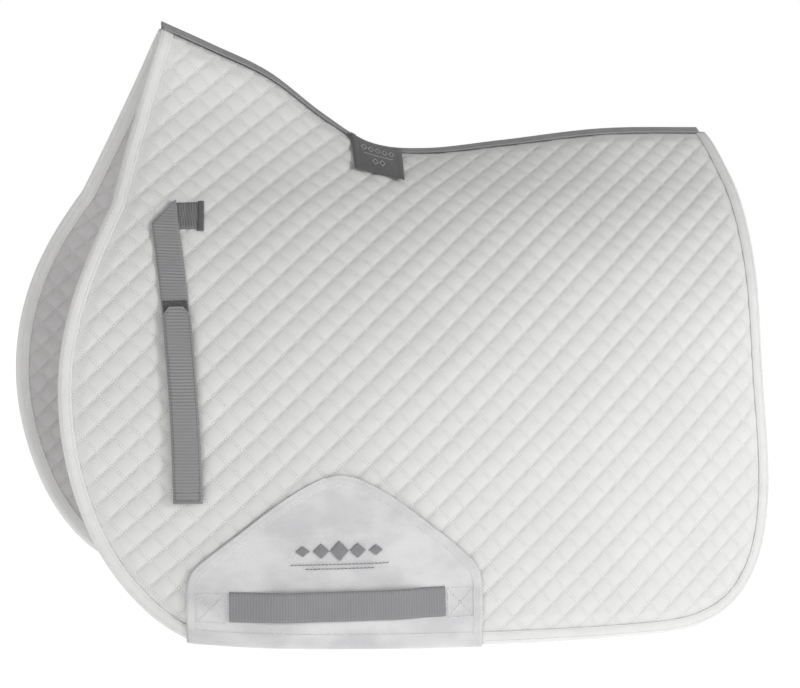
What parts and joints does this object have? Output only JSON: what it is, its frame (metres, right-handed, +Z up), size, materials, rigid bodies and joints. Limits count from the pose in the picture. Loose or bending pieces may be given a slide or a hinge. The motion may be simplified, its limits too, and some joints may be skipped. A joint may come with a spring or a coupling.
{
  "type": "saddle pad",
  "caption": "Quilted close-contact saddle pad draped over a back, with bound edges, lined panels, a girth keeper on a wear patch and a hanging billet strap with a closing tab on each side.",
  "frame": {"origin": "lowest point of the spine seam, where the pad rests on the back", "axes": "+X from the withers to the rear, -Y the near (left) side, +Z up"},
  "size_m": [0.7255, 0.4998, 0.6037],
  "materials": {
    "quilted_cover": "satin-smooth cotton twill quilted in small diamonds",
    "wadding": "soft polyester wadding",
    "quilted_lining": "mauve-grey cotton lining quilted in the same diamonds",
    "spine_tape": "two-tone grey folded tape",
    "edge_tape": "folded cotton twill tape, twin stitched",
    "woven_nylon": "coarse woven nylon with a faint sheen",
    "ribbed_webbing": "grey ribbed webbing",
    "stitching": "white box-and-cross stitching",
    "dark_stitching": "dark close bar-tack stitching",
    "touch_and_close": "dark grey hook and loop pile",
    "embroidery": "grey satin-stitch lozenges",
    "label_cloth": "dark grey woven label"
  },
  "bodies": {
    "back": {"spine_binding": "spine_tape", "near_upper_cover": "quilted_cover", "near_upper_front_binding": "edge_tape", "near_upper_lining": "quilted_lining", "near_upper_rear_binding": "edge_tape", "near_upper_wadding": "wadding", "off_upper_cover": "quilted_cover", "off_upper_front_binding": "edge_tape", "off_upper_lining": "quilted_lining", "off_upper_rear_binding": "edge_tape", "off_upper_wadding": "wadding"},
    "near_strap": {"near_strap_webbing": "ribbed_webbing", "near_strap_hook_tape": "touch_and_close"},
    "near_tab": {"near_tab_loop_tape": "touch_and_close", "near_closing_tab": "ribbed_webbing"},
    "near_panel": {"near_anchor_bartack": "dark_stitching", "near_emblem": "embroidery", "near_front_stitch_box": "stitching", "near_girth_keeper": "ribbed_webbing", "near_girth_patch": "woven_nylon", "near_panel_binding": "edge_tape", "near_panel_cover": "quilted_cover", "near_panel_lining": "quilted_lining", "near_panel_wadding": "wadding", "near_rear_stitch_box": "stitching", "near_strap_anchor": "ribbed_webbing", "near_strap_turn": "ribbed_webbing"},
    "off_strap": {"off_strap_webbing": "ribbed_webbing", "off_strap_hook_tape": "touch_and_close"},
    "off_tab": {"off_tab_loop_tape": "touch_and_close", "off_closing_tab": "ribbed_webbing"},
    "off_panel": {"off_anchor_bartack": "dark_stitching", "off_emblem": "embroidery", "off_front_stitch_box": "stitching", "off_girth_keeper": "ribbed_webbing", "off_girth_patch": "woven_nylon", "off_panel_binding": "edge_tape", "off_panel_cover": "quilted_cover", "off_panel_lining": "quilted_lining", "off_panel_wadding": "wadding", "off_rear_stitch_box": "stitching", "off_strap_anchor": "ribbed_webbing", "off_strap_turn": "ribbed_webbing"},
    "size_label": {"size_label": "label_cloth"}
  },
  "joints": [
    {"name": "near_panel_fold", "type": "hinge", "parent": "back", "child": "near_panel", "pos_m": [0, -0.08, -0.04], "axis": [-1, 0, 0], "range_deg": [-18, 65]},
    {"name": "near_strap_lift", "type": "hinge", "parent": "near_panel", "child": "near_strap", "pos_m": [-0.29383, -0.10809, -0.07304], "axis": [-0.9982, 0.0593, -0.0062], "range_deg": [0, 100]},
    {"name": "near_tab_peel", "type": "hinge", "parent": "near_strap", "child": "near_tab", "pos_m": [-0.29376, -0.18324, -0.31737], "axis": [0.945, -0.3267, 0.0154], "range_deg": [0, 150]},
    {"name": "off_panel_fold", "type": "hinge", "parent": "back", "child": "off_panel", "pos_m": [0, 0.08, -0.04], "axis": [1, 0, 0], "range_deg": [-18, 65]},
    {"name": "off_strap_lift", "type": "hinge", "parent": "off_panel", "child": "off_strap", "pos_m": [-0.29383, 0.10809, -0.07304], "axis": [0.9982, 0.0593, 0.0062], "range_deg": [0, 100]},
    {"name": "off_tab_peel", "type": "hinge", "parent": "off_strap", "child": "off_tab", "pos_m": [-0.29376, 0.18324, -0.31737], "axis": [-0.945, -0.3267, -0.0154], "range_deg": [0, 150]},
    {"name": "size_label_lift", "type": "hinge", "parent": "back", "child": "size_label", "pos_m": [-0.05862, -0.01696, 0.00928], "axis": [-0.9473, 0.0122, 0.32], "range_deg": [0, 100]}
  ]
}
